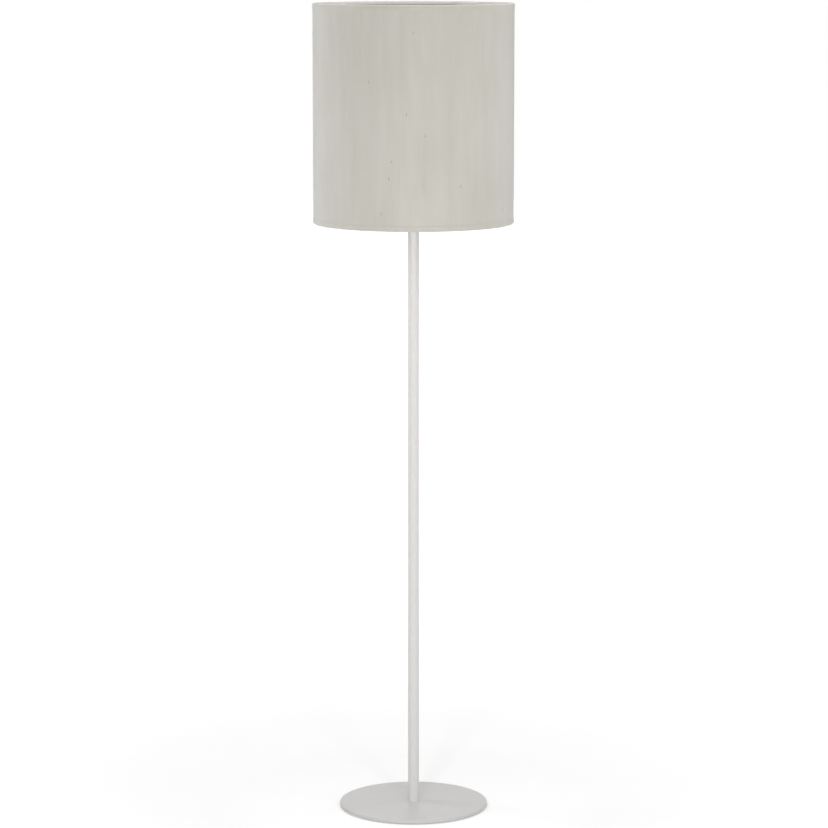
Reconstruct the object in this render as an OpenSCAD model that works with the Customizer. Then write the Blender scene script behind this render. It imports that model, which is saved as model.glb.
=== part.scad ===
// Column floor lamp: a round steel foot, a stem of two tubes, a screw-base lampholder with a push-bar
// switch and a lamp bulb, and a fabric drum shade on a three-arm wire carrier.
// Millimetres. +Z is up, +Y is the back, and the origin is the middle of the felt's underside.

/* [Foot] */
// Diameter of the round steel foot
base_d = 300; // [240:5:360]
// Thickness of the steel foot
base_t = 6; // [6:0.5:12]
// Radius of the foot's rounded top edge
base_edge_r = 1.5; // [0.5:0.25:2.5]
// Thickness of the felt under the foot
felt_t = 2; // [1:0.5:4]
// How far the felt's rim is set in from the foot's rim
felt_inset = 8; // [4:1:20]
// Diameter of the opening in the middle of the felt
felt_hole_d = 40; // [24:2:80]
// Thread diameter of the countersunk screw that holds the stem
foot_screw_d = 8; // [6:1:10]
// Diameter of that screw's head
foot_screw_head_d = 16; // [13:0.5:17]
// How far the screw reaches into the stem
foot_screw_bite = 15; // [10:1:18]
// Height of the tapped insert in the stem's lower end
foot_insert_h = 20; // [18:1:30]

/* [Stem] */
// Outer diameter of the stem's tubes
stem_d = 22; // [20:0.5:28]
// Wall of the tubes
stem_wall = 1.5; // [1:0.25:2.5]
// Length of both tubes together
stem_l = 1180; // [900:10:1400]
// Length of the lower tube
lower_tube_l = 590; // [300:10:700]
// Chamfer at the tube ends that meet
tube_chamfer = 0.3; // [0.1:0.1:0.8]
// Height of the tapped bushes in the tube ends
bush_h = 18; // [14:1:30]
// Thickness of the flange that closes the stem's top
top_flange_t = 2; // [1.5:0.5:4]
// Thread diameter of the hollow nipples
nipple_d = 10; // [9:0.5:11]
// Bore of the nipples, for the cable
nipple_bore_d = 7.5; // [6:0.5:8]
// Length of the nipple that joins the tubes
joint_nipple_l = 30; // [20:1:34]

/* [Cable inlet] */
// Bore of the cable inlet
inlet_bore_d = 6.4; // [5:0.2:7.2]
// Height of the inlet's middle above the tapped insert
inlet_rise = 12; // [10:1:60]
// Diameter of the inlet's outer collar
inlet_collar_d = 13; // [12:0.5:15]
// How far the collar stands out of the stem
inlet_collar_out = 2.2; // [1.2:0.2:4]

/* [Lampholder] */
// Outer diameter of the lampholder's cap
cap_d = 38; // [37.5:0.5:42]
// Height of the cap up to the shade's shoulder
cap_h = 50; // [49:1:60]
// Diameter of the cap's threaded neck
neck_d = 17; // [15:0.5:20]
// Height of the neck
neck_h = 9; // [7:0.5:11]
// Outer diameter of the mantle that carries the shade
mantle_d = 39.5; // [38:0.5:41]
// Wall of the mantle
mantle_wall = 1.55; // [1.2:0.05:1.8]
// Height of the mantle
mantle_h = 38; // [37:1:44]
// Diameter of the shoulder that the shade's carrier rests on
shoulder_d = 47; // [45:0.5:48]
// Thickness of the shoulder
shoulder_t = 3; // [2:0.5:4]
// Wall of the cap's spigot inside the mantle
spigot_wall = 1.25; // [1:0.05:1.5]
// Height of the spigot
spigot_h = 6; // [4:0.5:8]
// Inner diameter of the metal screw sleeve
socket_d = 26.7; // [26.5:0.1:27.5]
// Sheet thickness of the screw sleeve
sleeve_t = 0.4; // [0.3:0.05:0.6]

/* [Switch] */
// Width of the push bar
bar_w = 12; // [9:0.5:14]
// Height of the push bar
bar_h = 7; // [5:0.5:8]
// How far the bar stands out of the cap on its long side
bar_out = 9; // [8:0.5:12]
// Travel of the bar between off and on
bar_travel = 6; // [3:0.5:6]

/* [Shade ring] */
// Flange diameter of the ring nut that clamps the shade's carrier
ring_d = 58; // [54:1:64]
// Height of the ring nut
ring_h = 9; // [7:0.5:12]
// Number of finger grooves round the ring nut
ring_grooves = 20; // [12:1:28]

/* [Shade] */
// Outer diameter of the shade
shade_d = 400; // [320:5:480]
// Height of the shade
shade_h = 435; // [300:5:500]
// Height of the carrier above the shade's lower edge
shade_drop = 50; // [30:1:90]
// Thickness of the fabric
fabric_t = 0.6; // [0.4:0.1:1]
// Thickness of the stiff lining that the fabric is laminated to
lining_t = 0.6; // [0.4:0.1:1]
// Height of the hem band at both edges
hem_h = 11; // [8:0.5:16]
// Thickness of the hem band
hem_t = 0.5; // [0.3:0.1:0.8]
// How far the hem is tucked in behind the wire ring, from the shade's edge
hem_tuck = 6.5; // [5:0.5:7.5]
// Width of the overlap seam at the back
seam_w = 10; // [6:1:16]
// Diameter of the wire rings and arms
wire_d = 4; // [3:0.5:5]
// Number of arms that carry the shade
arm_count = 3; // [3:1:4]
// Thickness of the carrier's pressed ring
carrier_t = 1.5; // [1:0.25:2]
// Width of the carrier's pressed ring
carrier_w = 6.8; // [6:0.2:9]

/* [Bulb] */
// Largest diameter of the bulb
bulb_d = 60; // [55:1:66]
// Length of the bulb from its contact to its crown
bulb_l = 108; // [104:1:120]
// Wall of the opal globe
globe_t = 1.2; // [0.8:0.1:1.6]

/* [Hidden] */
$fn = 96;

// Clearances
fit = 0.05;       // between pieces that are pressed, screwed or glued together
slip = 0.3;       // between pieces that move past each other
over = 1;         // how far a cutting shape runs past what it cuts

// Finishes
stem_paint = [0.86, 0.85, 0.84];
base_paint = [0.80, 0.79, 0.78];
holder_white = [0.93, 0.92, 0.90];
fabric_colour = [0.79, 0.77, 0.72];
lining_colour = [0.90, 0.89, 0.86];
wire_white = [0.88, 0.87, 0.85];
zinc = [0.72, 0.72, 0.70];
brass = [0.80, 0.66, 0.36];
nickel = [0.75, 0.75, 0.74];
felt_grey = [0.25, 0.25, 0.26];
ceramic = [0.92, 0.91, 0.87];
opal = [0.96, 0.96, 0.94];
inlet_white = [0.82, 0.81, 0.79];
insulator_black = [0.06, 0.06, 0.06];

// Screws
slot_w = 0.5;
slot_depth = 0.6;

// Foot
base_r = base_d / 2;
base_top = felt_t + base_t;
screw_r = foot_screw_d / 2;
screw_head_r = foot_screw_head_d / 2;
screw_head_rim = 0.4;
screw_play = 0.25;
screw_hole_r = screw_r + screw_play;
hex_key_share = 0.72; // of the thread, across the corners
hex_key_d = foot_screw_d * hex_key_share;
hex_key_depth = 3;
tip_chamfer = 0.8;

// Stem
stem_r = stem_d / 2;
tube_ir = stem_r - stem_wall;
plug_r = tube_ir - fit;
nipple_r = nipple_d / 2;
nipple_bore_r = nipple_bore_d / 2;
joint_z = base_top + lower_tube_l;
stem_top = base_top + stem_l;
flange_edge_r = 0.8;

// Cable inlet
inlet_z = base_top + foot_insert_h + inlet_rise;
inlet_bore_r = inlet_bore_d / 2;
inlet_wall = 1.2;
inlet_neck_r = inlet_bore_r + inlet_wall;
inlet_lip_w = 1;
inlet_lip_r = inlet_neck_r + inlet_lip_w;
inlet_lip_t = 1.6;

// Lampholder, from its lower face
holder_z = stem_top + top_flange_t;
cap_r = cap_d / 2;
neck_r = neck_d / 2;
mantle_r = mantle_d / 2;
mantle_ir = mantle_r - mantle_wall;
spigot_r = mantle_ir - fit;
cap_ir = spigot_r - spigot_wall;
cap_wall = cap_r - cap_ir;
cap_floor = neck_h + cap_wall;
socket_r = socket_d / 2;
sleeve_r = socket_r + sleeve_t;
shoulder_r = shoulder_d / 2;
shoulder_chamfer = 0.6;
block_r = cap_ir - 2 * fit;
block_reach = 14; // how far the block goes down into the cap
block_seat = cap_h - block_reach;
ledge_t = 2;
ledge_w = 2.2;
block_floor = cap_h + spigot_h;
lip_t = 3;
mouth_play = 0.5;
mouth_r = socket_r + mouth_play;
mantle_top = cap_h + mantle_h;
block_top = mantle_top - lip_t - slip;
sleeve_setback = 1;
sleeve_top = block_top - sleeve_setback;
sleeve_flange_ir = 8;
neck_screw_d = 3;
neck_screw_out = 0.4;

// Contacts and terminals
contact_w = 5;
contact_t = 0.5;
contact_rise = 2.2;
contact_top = block_floor + contact_rise + contact_t;
terminal_size = [6.5, 4.5, 6];
terminal_gap = 0.8; // from the cap's ledge
terminal_y = block_r - ledge_w - fit - terminal_gap - terminal_size[1] / 2;
terminal_hole_x = terminal_size[0] / 4;
terminal_hole_h = 4.5;
terminal_screw_l = 3.6;
terminal_screw_r = 1.5;
terminal_head_r = 2;
terminal_head_h = 1.2;
terminal_wire_r = 1.2;

// Switch
bar_drop = 8.5; // from the block's lower face to the bar's middle
bar_z = block_seat - bar_drop;
bar_l = 2 * cap_r + 2 * bar_out - bar_travel;
slot_gap = slip - fit;
spring_t = 0.4;
spring_w = 8;

// Carrier, shade ring and shade, in the object's frame
shoulder_top = holder_z + cap_h + shoulder_t;
carrier_z = shoulder_top + slip;
carrier_play = 0.45;
carrier_ir = mantle_r + carrier_play;
carrier_r = carrier_ir + carrier_w;
ring_z = carrier_z + carrier_t + slip;
ring_ir = mantle_r + slip;
ring_r = ring_d / 2;
ring_collar_w = 4.6;
ring_collar_r = ring_ir + ring_collar_w;
ring_flange_t = 2.2;
groove_r = 1.3;
groove_inset = 0.52; // how far a groove's middle lies outside the collar

shade_r = shade_d / 2;
shade_z = carrier_z - shade_drop;
shade_top = shade_z + shade_h;
wire_r = wire_d / 2;
fabric_r = shade_r - hem_t - fit;
lining_r = fabric_r - fabric_t - fit;
wire_ring_r = lining_r - lining_t - fit - wire_r;
bead_r = (shade_r - (wire_ring_r - wire_r - fit - hem_t)) / 2; // half the width of the rolled edge
skin_inset = bead_r + fit;
seam_t = hem_t - fit;
arm_angle = 90;
arm_gap = 0.8; // from the shoulder's rim
arm_start_r = shoulder_r + arm_gap;
arm_z = carrier_z - fit - wire_r;
arm_notch_gap = 0.4;
arm_level_l = 6; // how far an arm runs level past the pressed ring
arm_bend_x = carrier_r + arm_level_l;
arm_run = wire_ring_r - arm_bend_x;
arm_fall = arm_z - (shade_z + bead_r);

// Bulb, from its contact
bulb_z = holder_z + contact_top + slip;
bulb_r = bulb_d / 2;
bulb_cap_r = socket_r - slip;
bulb_tip_r = 4.8;
bulb_tip_h = 1.2;
bulb_tip_chamfer = 1;
insulator_h = 2.6;
insulator_r = 10.5;
insulator_rim = 0.6; // how far the insulator reaches past the contact
bulb_cap_z = bulb_tip_h + insulator_h;
bulb_cap_top = 27;
bulb_cap_t = 0.35;
bulb_waist_step = 0.25;
bulb_waist_r = bulb_cap_r + bulb_waist_step;
globe_z = bulb_l - bulb_r;
neck_l = 28;
globe_split = bulb_cap_top + neck_l;
collar_h = 3; // the straight stretch above the screw cap
waist_z = bulb_cap_top + collar_h;
// A waist arc that is upright at waist_z and runs into the globe without a corner
waist_arc_r = (pow(bulb_waist_r, 2) + pow(globe_z - waist_z, 2) - pow(bulb_r, 2))
    / (2 * (bulb_r - bulb_waist_r));
waist_arc_x = bulb_waist_r + waist_arc_r;
bulb_crease = 0.02; // the arc's radius is this much over, so that it meets the globe at an edge
board_t = 1.6;
board_gap = 1;

// ---- shared shapes ----

// A tube with its lower face at z = 0
module ring(r, ir, h) {
    difference() {
        cylinder(r = r, h = h);
        translate([0, 0, -over]) cylinder(r = ir, h = h + 2 * over);
    }
}

// A bush that is pressed into a tube end
module bush(h, ir) {
    rotate_extrude() polygon([
        [ir, 0], [plug_r - tube_chamfer, 0], [plug_r, tube_chamfer],
        [plug_r, h - tube_chamfer], [plug_r - tube_chamfer, h], [ir, h],
    ]);
}

module nipple(l) {
    rotate_extrude() polygon([
        [nipple_bore_r, 0], [nipple_r - tube_chamfer, 0], [nipple_r, tube_chamfer],
        [nipple_r, l - tube_chamfer], [nipple_r - tube_chamfer, l], [nipple_bore_r, l],
    ]);
}

// A cylinder that points to the back, from y = from_y to y = to_y
module back_rod(r, from_y, to_y) {
    translate([0, from_y, 0]) rotate([-90, 0, 0]) cylinder(r = r, h = to_y - from_y);
}

// ---- foot ----

module base_plate() {
    straight_r = base_r - base_edge_r;
    sink_r = screw_head_r + fit;
    color(base_paint) translate([0, 0, felt_t]) rotate_extrude() difference() {
        union() {
            square([base_r, base_t - base_edge_r]);
            square([straight_r, base_t]);
            translate([straight_r, base_t - base_edge_r]) circle(base_edge_r);
        }
        polygon([
            [-over, -over], [sink_r, -over], [sink_r, screw_head_rim],
            [screw_hole_r, screw_head_rim + sink_r - screw_hole_r],
            [screw_hole_r, base_t + over], [-over, base_t + over],
        ]);
    }
}

module base_felt() {
    color(felt_grey) ring(base_r - felt_inset, felt_hole_d / 2, felt_t);
}

module foot_screw() {
    l = base_t + foot_screw_bite;
    color(zinc) translate([0, 0, felt_t]) difference() {
        rotate_extrude() polygon([
            [0, 0], [screw_head_r, 0], [screw_head_r, screw_head_rim],
            [screw_r, screw_head_rim + screw_head_r - screw_r],
            [screw_r, l - tip_chamfer], [screw_r - tip_chamfer, l], [0, l],
        ]);
        translate([0, 0, -over]) cylinder(d = hex_key_d, h = hex_key_depth + over, $fn = 6);
    }
}

module foot_insert() {
    color(zinc) translate([0, 0, base_top]) bush(foot_insert_h, screw_r + fit);
}

// ---- stem ----

module lower_tube() {
    color(stem_paint) difference() {
        translate([0, 0, base_top]) rotate_extrude() polygon([
            [tube_ir, 0], [stem_r, 0], [stem_r, lower_tube_l - tube_chamfer],
            [stem_r - tube_chamfer, lower_tube_l], [tube_ir, lower_tube_l],
        ]);
        translate([0, 0, inlet_z]) back_rod(inlet_neck_r + fit, 0, stem_r + over);
    }
}

// A snap-in bush: a collar outside the tube, a neck through its wall and a lip behind it
module cable_inlet() {
    neck_from = tube_ir - inlet_lip_t;
    color(inlet_white) difference() {
        union() {
            difference() {
                translate([0, 0, inlet_z]) back_rod(inlet_collar_d / 2, 0, stem_r + inlet_collar_out);
                cylinder(r = stem_r + fit, h = inlet_z + inlet_collar_d);
            }
            translate([0, 0, inlet_z]) back_rod(inlet_neck_r, neck_from, stem_r + over);
            intersection() {
                translate([0, 0, inlet_z]) back_rod(inlet_lip_r, neck_from, stem_r);
                cylinder(r = tube_ir - fit, h = inlet_z + inlet_collar_d);
            }
        }
        translate([0, 0, inlet_z]) back_rod(inlet_bore_r, 0, stem_r + inlet_collar_out + over);
    }
}

module lower_joint_bush() {
    color(zinc) translate([0, 0, joint_z - bush_h]) bush(bush_h, nipple_r + fit);
}

module joint_nipple() {
    color(brass) translate([0, 0, joint_z - joint_nipple_l / 2]) nipple(joint_nipple_l);
}

module upper_joint_bush() {
    color(zinc) translate([0, 0, joint_z]) bush(bush_h, nipple_r + fit);
}

module upper_tube() {
    l = stem_l - lower_tube_l;
    color(stem_paint) translate([0, 0, joint_z]) rotate_extrude() polygon([
        [tube_ir, 0], [stem_r - tube_chamfer, 0], [stem_r, tube_chamfer], [stem_r, l], [tube_ir, l],
    ]);
}

module top_bush() {
    color(stem_paint) union() {
        translate([0, 0, stem_top - bush_h]) bush(bush_h, nipple_r + fit);
        translate([0, 0, stem_top]) rotate_extrude() difference() {
            union() {
                square([stem_r, top_flange_t - flange_edge_r]);
                square([stem_r - flange_edge_r, top_flange_t]);
                translate([stem_r - flange_edge_r, top_flange_t - flange_edge_r]) circle(flange_edge_r);
            }
            translate([-over, -over]) square([nipple_r + fit + over, top_flange_t + 2 * over]);
        }
    }
}

module top_nipple() {
    color(brass) translate([0, 0, stem_top - bush_h]) nipple(bush_h + top_flange_t + neck_h - slip);
}

// ---- lampholder ----

// The cap's outline, r_neck wide below and r_body wide above a quarter-round shoulder
module cap_outline(r_neck, r_body, z_neck, z_top) {
    round_r = r_body - r_neck;
    square([r_neck, z_top]);
    translate([0, z_neck + round_r]) square([r_body, z_top - z_neck - round_r]);
    translate([r_neck, z_neck + round_r]) intersection() {
        circle(round_r);
        translate([0, -round_r]) square(round_r);
    }
}

module holder_cap() {
    color(holder_white) translate([0, 0, holder_z]) difference() {
        rotate_extrude() {
            difference() {
                union() {
                    cap_outline(neck_r, cap_r, neck_h, cap_h);
                    translate([0, cap_h - over]) square([spigot_r, spigot_h + over]);
                }
                intersection() {
                    cap_outline(neck_r, cap_ir, cap_floor, block_floor + over);
                    translate([0, cap_floor]) square([cap_ir, block_floor]);
                }
                translate([0, -over]) square([nipple_r + fit, block_floor]);
            }
            translate([block_r - ledge_w, block_seat - ledge_t])
                square([cap_ir - block_r + ledge_w + over / 2, ledge_t]);
        }
        translate([-cap_r - over, -bar_w / 2 - slot_gap, bar_z - bar_h / 2 - slot_gap])
            cube([2 * (cap_r + over), bar_w + 2 * slot_gap, bar_h + 2 * slot_gap]);
        translate([0, 0, neck_h / 2]) back_rod(neck_screw_d / 2 + fit, 0, neck_r + over);
    }
}

module neck_screw() {
    color(zinc) translate([0, 0, holder_z + neck_h / 2]) difference() {
        back_rod(neck_screw_d / 2, nipple_r + fit, neck_r + neck_screw_out);
        translate([-neck_screw_d, neck_r + neck_screw_out - slot_depth, -slot_w / 2])
            cube([2 * neck_screw_d, slot_depth + over, slot_w]);
    }
}

// The insulating cup that holds the screw sleeve, with its terminals below
module contact_block() {
    color(ceramic) translate([0, 0, holder_z]) difference() {
        translate([0, 0, block_seat]) cylinder(r = block_r, h = block_top - block_seat);
        translate([0, 0, block_floor]) cylinder(r = sleeve_r + fit, h = block_top);
        for (side = [-1, 1])
            translate([0, side * terminal_y, block_seat - over])
                cylinder(r = terminal_wire_r, h = block_top, $fn = 32);
    }
}

module terminal_blocks() {
    color(brass) for (side = [-1, 1])
        translate([0, side * terminal_y, holder_z + block_seat - terminal_size[2]]) difference() {
            translate([-terminal_size[0] / 2, -terminal_size[1] / 2, 0]) cube(terminal_size);
            translate([terminal_hole_x, 0, -over])
                cylinder(r = terminal_screw_r + fit, h = terminal_hole_h + over, $fn = 32);
            translate([-terminal_hole_x, 0, -over])
                cylinder(r = terminal_wire_r, h = terminal_hole_h + over, $fn = 32);
        }
}

module terminal_screws() {
    color(zinc) for (side = [-1, 1])
        translate([terminal_hole_x, side * terminal_y, holder_z + block_seat - terminal_size[2]])
            difference() {
                union() {
                    cylinder(r = terminal_screw_r, h = terminal_screw_l, $fn = 32);
                    translate([0, 0, -terminal_head_h])
                        cylinder(r = terminal_head_r, h = terminal_head_h, $fn = 32);
                }
                translate([-over - terminal_head_r, -slot_w / 2, -terminal_head_h - over])
                    cube([2 * (over + terminal_head_r), slot_w, over + slot_depth]);
            }
}

module screw_sleeve() {
    color(brass) translate([0, 0, holder_z]) rotate_extrude() polygon([
        [sleeve_flange_ir, block_floor], [sleeve_r, block_floor], [sleeve_r, sleeve_top],
        [socket_r, sleeve_top], [socket_r, block_floor + sleeve_t],
        [sleeve_flange_ir, block_floor + sleeve_t],
    ]);
}

// A bent spring tongue, flat where it is riveted down and raised under the bulb's contact
module centre_contact() {
    foot = [-6.5, -3.2];
    tongue = [0.4, 4.8];
    color(brass) translate([0, contact_w / 2, holder_z + block_floor]) rotate([90, 0, 0])
        linear_extrude(contact_w) polygon([
            [foot[0], 0], [foot[1], 0], [tongue[0], contact_rise], [tongue[1], contact_rise],
            [tongue[1], contact_rise + contact_t], [tongue[0] - contact_t / 2, contact_rise + contact_t],
            [foot[1] - contact_t / 2, contact_t], [foot[0], contact_t],
        ]);
}

// Two leaf springs beside the push bar, hanging from the contact block
module switch_springs() {
    leaf_bottom = bar_z - bar_h / 2;
    color(brass) for (side = [-1, 1])
        translate([-spring_w / 2, side * (bar_w / 2 + slip + spring_t / 2) - spring_t / 2,
                   holder_z + leaf_bottom])
            cube([spring_w, spring_t, block_seat - leaf_bottom]);
}

module holder_mantle() {
    crown_r = 1;
    color(holder_white) translate([0, 0, holder_z + cap_h]) rotate_extrude() difference() {
        union() {
            polygon([
                [0, 0], [shoulder_r - shoulder_chamfer, 0], [shoulder_r, shoulder_chamfer],
                [shoulder_r, shoulder_t - shoulder_chamfer], [shoulder_r - shoulder_chamfer, shoulder_t],
                [0, shoulder_t],
            ]);
            square([mantle_r, mantle_h - crown_r]);
            square([mantle_r - crown_r, mantle_h]);
            translate([mantle_r - crown_r, mantle_h - crown_r]) circle(crown_r);
        }
        translate([-over, -over]) square([mantle_ir + over, mantle_h - lip_t + over]);
        translate([-over, 0]) square([mouth_r + over, mantle_h + over]);
    }
}

// ---- switch ----

// The bar lies off-centre when it is off, and its travel takes it to the other side
module switch_bar() {
    color(holder_white) translate([-bar_travel / 2, 0, holder_z + bar_z - bar_h / 2])
        linear_extrude(bar_h) union() {
            square([bar_l - bar_w, bar_w], center = true);
            for (side = [-1, 1]) translate([side * (bar_l - bar_w) / 2, 0]) circle(bar_w / 2);
        }
}

// ---- shade ring ----

module shade_ring() {
    color(holder_white) translate([0, 0, ring_z]) difference() {
        union() {
            cylinder(r = ring_r, h = ring_flange_t);
            cylinder(r = ring_collar_r, h = ring_h);
        }
        translate([0, 0, -over]) cylinder(r = ring_ir, h = ring_h + 2 * over);
        for (i = [0 : ring_grooves - 1])
            rotate(i * 360 / ring_grooves) translate([ring_collar_r + groove_inset, 0, ring_flange_t])
                cylinder(r = groove_r, h = ring_h, $fn = 32);
    }
}

// ---- shade ----

module shade_fabric() {
    color(fabric_colour) translate([0, 0, shade_z + skin_inset])
        ring(fabric_r, fabric_r - fabric_t, shade_h - 2 * skin_inset);
}

module shade_lining() {
    color(lining_colour) translate([0, 0, shade_z + skin_inset])
        ring(lining_r, lining_r - lining_t, shade_h - 2 * skin_inset);
}

// A band that runs down the outside from the edge, rolls over the wire ring and is tucked in behind it.
// The edge is at z = 0 and the band hangs below it.
module hem() {
    middle = shade_r - bead_r;
    rotate_extrude() {
        translate([middle, -bead_r]) difference() {
            circle(bead_r);
            circle(bead_r - hem_t);
            translate([-bead_r - over, -bead_r - over]) square([2 * (bead_r + over), bead_r + over]);
        }
        translate([shade_r - hem_t, -hem_h]) square([hem_t, hem_h - bead_r]);
        translate([shade_r - 2 * bead_r, -hem_tuck]) square([hem_t, hem_tuck - bead_r]);
    }
}

module top_hem() {
    color(fabric_colour) translate([0, 0, shade_top]) hem();
}

module bottom_hem() {
    color(fabric_colour) difference() {
        translate([0, 0, shade_z]) mirror([0, 0, 1]) hem();
        each_arm() arm_slope(wire_r + arm_notch_gap);
    }
}

module back_seam() {
    seam_z = shade_z + hem_h + fit;
    seam_l = shade_h - 2 * (hem_h + fit);
    color(fabric_colour) intersection() {
        translate([0, 0, seam_z]) ring(fabric_r + seam_t, fabric_r, seam_l);
        translate([-seam_w / 2, fabric_r - seam_w, seam_z]) cube([seam_w, 2 * seam_w, seam_l]);
    }
}

module wire_ring(z, r) {
    translate([0, 0, z]) rotate_extrude() translate([wire_ring_r, 0]) circle(r);
}

module top_wire_ring() {
    color(wire_white) wire_ring(shade_top - bead_r, wire_r);
}

module bottom_wire_ring() {
    color(wire_white) wire_ring(shade_z + bead_r, wire_r);
}

module each_arm() {
    for (i = [0 : arm_count - 1]) rotate(arm_angle + i * 360 / arm_count) children();
}

// The sloping stretch of an arm, from its bend down to the lower wire ring
module arm_slope(r) {
    translate([arm_bend_x, 0, arm_z]) rotate([0, 90 + atan2(arm_fall, arm_run), 0])
        cylinder(r = r, h = norm([arm_run, arm_fall]));
}

module carrier_arms() {
    color(wire_white) difference() {
        each_arm() {
            translate([arm_start_r, 0, arm_z]) rotate([0, 90, 0])
                cylinder(r = wire_r, h = arm_bend_x - arm_start_r);
            translate([arm_bend_x, 0, arm_z]) sphere(wire_r + fit);
            arm_slope(wire_r);
        }
        wire_ring(shade_z + bead_r, wire_r + fit);
    }
}

module carrier_ring() {
    color(wire_white) translate([0, 0, carrier_z]) ring(carrier_r, carrier_ir, carrier_t);
}

// ---- bulb ----

module bulb_contact() {
    color(zinc) translate([0, 0, bulb_z]) union() {
        cylinder(r1 = bulb_tip_r - bulb_tip_chamfer, r2 = bulb_tip_r, h = bulb_tip_h / 2);
        translate([0, 0, bulb_tip_h / 2]) cylinder(r = bulb_tip_r, h = bulb_tip_h / 2);
    }
}

module bulb_insulator() {
    color(insulator_black) translate([0, 0, bulb_z + bulb_tip_h])
        cylinder(r1 = bulb_tip_r + insulator_rim, r2 = insulator_r, h = insulator_h);
}

module bulb_cap() {
    corner = bulb_cap_r - insulator_r;
    color(nickel) translate([0, 0, bulb_z]) rotate_extrude() polygon([
        [0, bulb_cap_z], [insulator_r, bulb_cap_z], [bulb_cap_r, bulb_cap_z + corner],
        [bulb_cap_r, bulb_cap_top], [bulb_cap_r - bulb_cap_t, bulb_cap_top],
        [bulb_cap_r - bulb_cap_t, bulb_cap_z + corner + bulb_cap_t], [0, bulb_cap_z + corner + bulb_cap_t],
    ]);
}

// The bulb's outline between two heights, drawn in by a wall: a waist arc below and the globe above
module bulb_outline(wall, z_from, z_to) {
    globe_r = bulb_r - wall;
    arc_r = waist_arc_r + wall + bulb_crease;
    tangent = globe_r / (bulb_r + waist_arc_r);
    tangent_z = globe_z - (globe_z - waist_z) * tangent;
    tangent_x = waist_arc_x * tangent;
    intersection() {
        translate([0, z_from]) square([bulb_d, z_to - z_from]);
        union() {
            translate([0, globe_z]) circle(globe_r);
            difference() {
                translate([0, waist_z]) square([tangent_x, tangent_z - waist_z]);
                translate([waist_arc_x, waist_z]) circle(arc_r);
            }
            translate([0, bulb_cap_top]) square([waist_arc_x - arc_r, waist_z - bulb_cap_top]);
        }
    }
}

module bulb_neck() {
    color(holder_white) translate([0, 0, bulb_z]) rotate_extrude()
        bulb_outline(0, bulb_cap_top, globe_split);
}

module led_board() {
    bulb_r_here = waist_arc_x - sqrt(pow(waist_arc_r, 2) - pow(globe_split - waist_z, 2));
    board_r = bulb_r_here - globe_t - board_gap;
    color(zinc) translate([0, 0, bulb_z + globe_split]) cylinder(r = board_r, h = board_t);
}

module bulb_globe() {
    color(opal) translate([0, 0, bulb_z]) rotate_extrude() difference() {
        bulb_outline(0, globe_split, bulb_l + over);
        bulb_outline(globe_t, globe_split - over, bulb_l);
        translate([-bulb_d, 0]) square([bulb_d, 2 * bulb_l]);
    }
}

base_plate();
base_felt();
foot_screw();
foot_insert();
lower_tube();
cable_inlet();
lower_joint_bush();
joint_nipple();
upper_joint_bush();
upper_tube();
top_bush();
top_nipple();
holder_cap();
neck_screw();
contact_block();
terminal_blocks();
terminal_screws();
screw_sleeve();
centre_contact();
switch_springs();
holder_mantle();
switch_bar();
shade_ring();
shade_fabric();
shade_lining();
top_hem();
bottom_hem();
back_seam();
top_wire_ring();
bottom_wire_ring();
carrier_arms();
carrier_ring();
bulb_contact();
bulb_insulator();
bulb_cap();
bulb_neck();
led_board();
bulb_globe();
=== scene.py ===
"""Finish for the column floor lamp: its cloth, threads and materials, and the studio it stands in.

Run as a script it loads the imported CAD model, adds the pieces that CAD leaves plain, gives every piece its
material, and sets up the floor, lamps and camera. Lengths are in metres.
"""

import math

import bmesh
import bpy
import numpy as np
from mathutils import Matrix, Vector


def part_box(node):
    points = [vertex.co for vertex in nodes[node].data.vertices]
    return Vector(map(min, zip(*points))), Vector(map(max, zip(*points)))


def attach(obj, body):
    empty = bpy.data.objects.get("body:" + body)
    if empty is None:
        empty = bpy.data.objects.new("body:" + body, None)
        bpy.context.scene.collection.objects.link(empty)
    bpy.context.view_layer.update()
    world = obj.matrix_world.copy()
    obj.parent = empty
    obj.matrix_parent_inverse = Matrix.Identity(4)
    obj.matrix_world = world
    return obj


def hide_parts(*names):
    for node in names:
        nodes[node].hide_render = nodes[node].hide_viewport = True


bl_info = {
    "name": "Column floor lamp finish",
    "version": (1, 0, 0),
    "blender": (4, 5, 0),
    "location": "3D View > Sidebar > Lamp",
    "description": "Cloth, threads, materials and studio for the column floor lamp",
    "category": "Object",
}

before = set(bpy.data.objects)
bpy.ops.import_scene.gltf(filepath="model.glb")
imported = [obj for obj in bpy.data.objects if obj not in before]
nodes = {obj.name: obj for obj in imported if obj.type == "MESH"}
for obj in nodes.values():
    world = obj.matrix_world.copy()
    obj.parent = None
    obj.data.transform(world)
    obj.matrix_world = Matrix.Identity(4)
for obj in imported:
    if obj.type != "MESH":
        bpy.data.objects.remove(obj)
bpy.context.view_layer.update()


def mesh_points(mesh):
    """The x, y and z of a mesh's points."""
    points = np.empty(len(mesh.vertices) * 3)
    mesh.vertices.foreach_get("co", points)
    return points.reshape(-1, 3).T


def radii(node, low=-math.inf, high=math.inf):
    """The smallest and largest distance from the stem's axis of a node's points between two heights."""
    x, y, z = mesh_points(nodes[node].data)
    distance = np.hypot(x, y)[(z >= low) & (z <= high)]
    return float(distance.min()), float(distance.max())


def heights(node):
    """The lowest and highest point of a node."""
    low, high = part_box(node)
    return low.z, high.z


def linear(red, green, blue):
    """A colour given in the 0 to 255 steps of a picture, as the linear values that Blender's shaders take."""
    return tuple(c / 12.92 if c <= 0.04045 else ((c + 0.055) / 1.055) ** 2.4
                 for c in (red / 255, green / 255, blue / 255))


# ---- settings ----

def length(name, description, default):
    """A length in metres that a user can change."""
    return bpy.props.FloatProperty(name=name, description=description, default=default, min=0.0,
                                   precision=5, subtype="DISTANCE", unit="LENGTH")


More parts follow.
